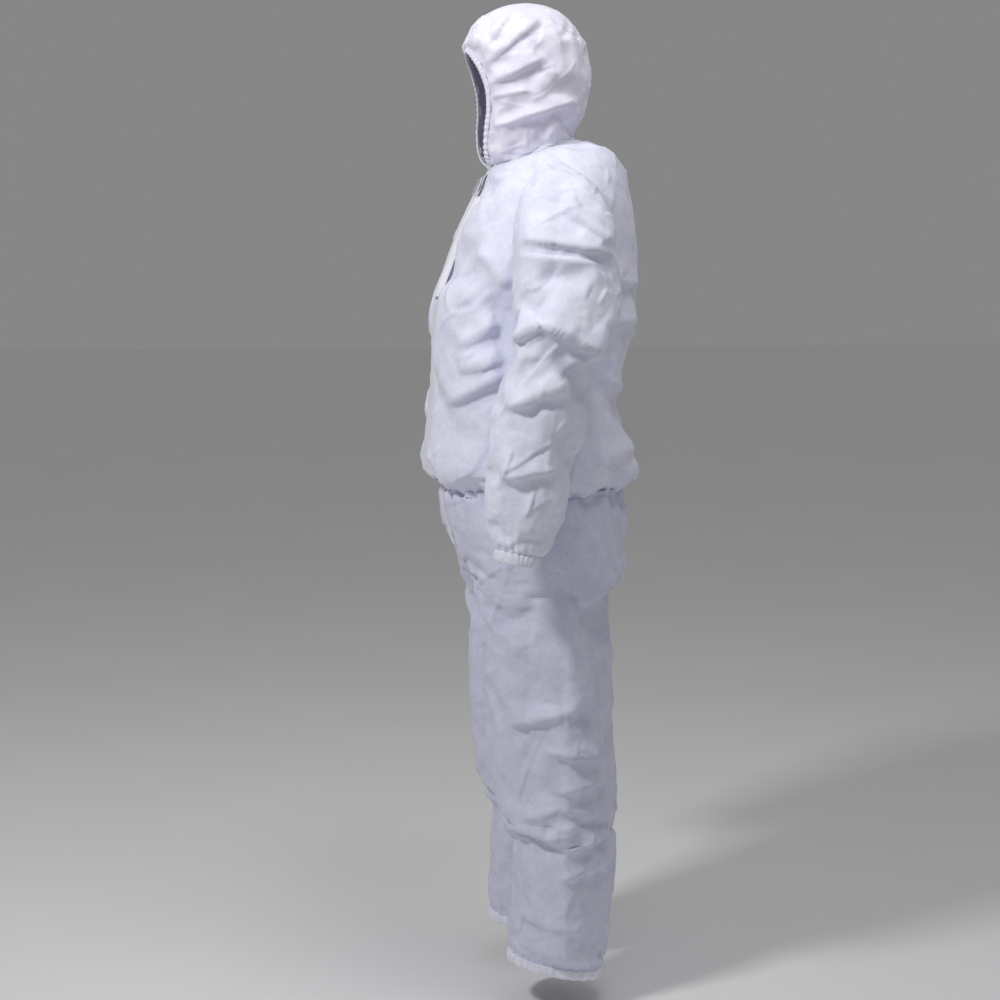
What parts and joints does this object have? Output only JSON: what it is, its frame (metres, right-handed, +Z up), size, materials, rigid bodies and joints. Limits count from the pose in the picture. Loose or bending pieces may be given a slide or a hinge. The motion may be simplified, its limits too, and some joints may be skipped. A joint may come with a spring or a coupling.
{
  "type": "hooded protective coverall",
  "caption": "White hooded disposable coverall as worn standing, with elasticated hood, waist, cuffs and ankles, a covered front zip and hinged limbs.",
  "frame": {"origin": "centre of the neck seam, where the hood meets the bodice", "axes": "+Z up the standing wearer, -Y the way the wearer faces, +X to the wearer's left"},
  "size_m": [0.7106, 0.3862, 1.7739],
  "materials": {
    "coverall_cloth": "matt spun-bonded nonwoven",
    "hood_cloth": "matt spun-bonded nonwoven",
    "sleeve_cloth": "matt spun-bonded nonwoven",
    "leg_cloth": "matt spun-bonded nonwoven",
    "flap_cloth": "matt spun-bonded nonwoven, doubled",
    "hem_cloth": "folded and overlocked nonwoven",
    "binding_tape": "bias-cut binding",
    "knit_elastic": "braided elastic",
    "zipper_tape": "woven polyester",
    "zipper_nylon": "nylon coil",
    "zipper_metal": "white enamel",
    "sealing_tape": "release-lined adhesive",
    "label_paper": "blank spun-bonded label"
  },
  "bodies": {
    "bodice": {"front_left_panel": "coverall_cloth", "front_right_panel": "coverall_cloth", "back_panel": "coverall_cloth", "neck_binding": "binding_tape", "size_label": "label_paper", "belly_left_panel": "coverall_cloth", "belly_right_panel": "coverall_cloth", "seat_panel": "coverall_cloth", "pelvis_pleat": "coverall_cloth", "waist_elastic": "knit_elastic", "crotch_gusset": "coverall_cloth", "zipper_tape_left": "zipper_tape", "zipper_tape_right": "zipper_tape", "zipper_coil_left": "zipper_nylon", "zipper_coil_right": "zipper_nylon", "flap_lower": "flap_cloth", "zipper_top_stops": "zipper_nylon", "zipper_bottom_stop": "zipper_nylon", "flap_root": "flap_cloth", "neck_pleat": "hood_cloth", "left_hip_pleat": "leg_cloth", "right_hip_pleat": "leg_cloth"},
    "slider": {"zipper_slider": "zipper_metal"},
    "pull": {"zipper_pull": "zipper_metal"},
    "storm_flap": {"flap_upper": "flap_cloth", "flap_tape": "sealing_tape"},
    "hood": {"hood_left_panel": "hood_cloth", "hood_right_panel": "hood_cloth", "hood_centre_panel": "hood_cloth", "face_casing": "hem_cloth", "face_elastic": "knit_elastic"},
    "left_upper_sleeve": {"left_sleeve_upper": "sleeve_cloth", "left_elbow_pleat": "sleeve_cloth"},
    "left_forearm": {"left_sleeve_lower": "sleeve_cloth", "left_cuff": "hem_cloth", "left_cuff_elastic": "knit_elastic"},
    "left_thigh": {"left_thigh_front": "leg_cloth", "left_thigh_back": "leg_cloth", "left_knee_pleat": "leg_cloth"},
    "left_shin": {"left_shin_front": "leg_cloth", "left_shin_back": "leg_cloth", "left_ankle_casing": "hem_cloth", "left_ankle_elastic": "knit_elastic"},
    "right_upper_sleeve": {"right_sleeve_upper": "sleeve_cloth", "right_elbow_pleat": "sleeve_cloth"},
    "right_forearm": {"right_sleeve_lower": "sleeve_cloth", "right_cuff": "hem_cloth", "right_cuff_elastic": "knit_elastic"},
    "right_thigh": {"right_thigh_front": "leg_cloth", "right_thigh_back": "leg_cloth", "right_knee_pleat": "leg_cloth"},
    "right_shin": {"right_shin_front": "leg_cloth", "right_shin_back": "leg_cloth", "right_ankle_casing": "hem_cloth", "right_ankle_elastic": "knit_elastic"}
  },
  "joints": [
    {"name": "zip_slide", "type": "slide", "parent": "bodice", "child": "slider", "axis": [0, -0.3545, -0.9351], "range_m": [0, 0.196]},
    {"name": "pull_swing", "type": "hinge", "parent": "slider", "child": "pull", "pos_m": [0, -0.10624, -0.04835], "axis": [-1, 0, 0], "range_deg": [0, 8]},
    {"name": "flap_lift", "type": "hinge", "parent": "bodice", "child": "storm_flap", "pos_m": [0.0375, -0.11656, -0.05856], "axis": [0, 0.3545, 0.9351], "range_deg": [0, 100]},
    {"name": "hood_tip", "type": "hinge", "parent": "bodice", "child": "hood", "pos_m": [0, 0.015, 0.005], "axis": [-1, 0, 0], "range_deg": [0, 28], "deforming": ["neck_pleat"]},
    {"name": "left_shoulder", "type": "hinge", "parent": "bodice", "child": "left_upper_sleeve", "pos_m": [0.187, 0.004, -0.15], "axis": [-1, 0, 0], "range_deg": [-20, 60]},
    {"name": "left_elbow", "type": "hinge", "parent": "left_upper_sleeve", "child": "left_forearm", "pos_m": [0.288, -0.005, -0.372], "axis": [-1, 0, 0], "range_deg": [0, 75], "deforming": ["left_elbow_pleat"]},
    {"name": "left_hip", "type": "hinge", "parent": "bodice", "child": "left_thigh", "pos_m": [0.1045, 0.015, -0.75], "axis": [-1, 0, 0], "range_deg": [-10, 35], "deforming": ["left_hip_pleat", "pelvis_pleat", "crotch_gusset"]},
    {"name": "left_knee", "type": "hinge", "parent": "left_thigh", "child": "left_shin", "pos_m": [0.113, 0.022, -1.112], "axis": [1, 0, 0], "range_deg": [0, 50], "deforming": ["left_knee_pleat"]},
    {"name": "right_shoulder", "type": "hinge", "parent": "bodice", "child": "right_upper_sleeve", "pos_m": [-0.187, 0.004, -0.15], "axis": [-1, 0, 0], "range_deg": [-20, 60]},
    {"name": "right_elbow", "type": "hinge", "parent": "right_upper_sleeve", "child": "right_forearm", "pos_m": [-0.288, -0.005, -0.372], "axis": [-1, 0, 0], "range_deg": [0, 75], "deforming": ["right_elbow_pleat"]},
    {"name": "right_hip", "type": "hinge", "parent": "bodice", "child": "right_thigh", "pos_m": [-0.1045, 0.015, -0.75], "axis": [-1, 0, 0], "range_deg": [-10, 35], "deforming": ["right_hip_pleat", "pelvis_pleat", "crotch_gusset"]},
    {"name": "right_knee", "type": "hinge", "parent": "right_thigh", "child": "right_shin", "pos_m": [-0.113, 0.022, -1.112], "axis": [1, 0, 0], "range_deg": [0, 50], "deforming": ["right_knee_pleat"]}
  ]
}
